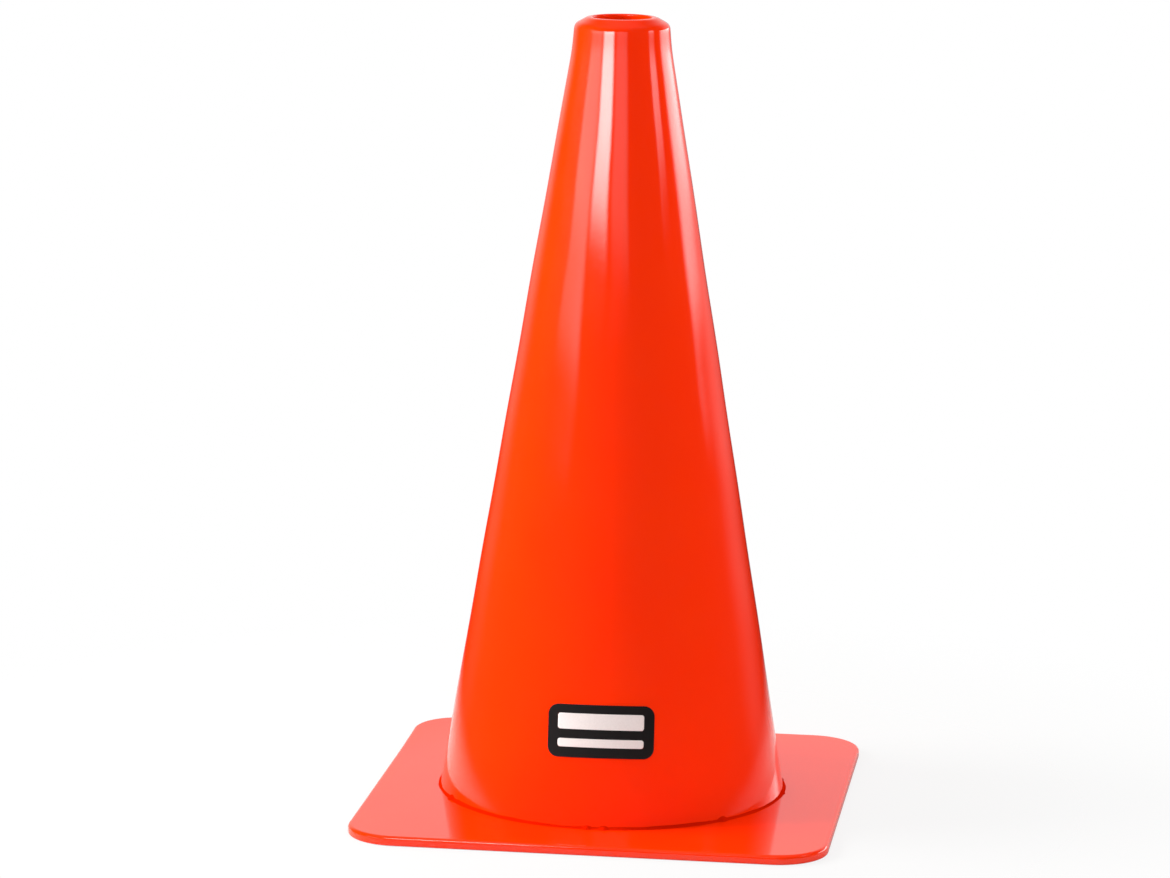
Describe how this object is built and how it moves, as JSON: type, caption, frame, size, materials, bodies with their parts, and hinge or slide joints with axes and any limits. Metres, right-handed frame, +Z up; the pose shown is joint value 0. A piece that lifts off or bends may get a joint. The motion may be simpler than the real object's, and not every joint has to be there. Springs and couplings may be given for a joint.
{
  "type": "sports marker cone",
  "caption": "Hollow tapered marker cone in flexible plastic, with a rounded rim and pole hole on top, a flat square base plate welded round its foot and a blank front label.",
  "frame": {"origin": "centre of the base plate at floor level, on the cone's axis", "axes": "+Z up along the cone's axis, X and Y along the plate's sides, the label faces -Y"},
  "size_m": [0.228, 0.228, 0.38],
  "materials": {
    "cone_pvc": "glossy flexible PVC, fluorescent orange-red all through",
    "label_film": "satin black printed film with two blank white write-on bars"
  },
  "bodies": {
    "root": {"cone_body": "cone_pvc", "base_plate": "cone_pvc", "foot_weld": "cone_pvc", "label_film": "label_film"}
  },
  "joints": []
}
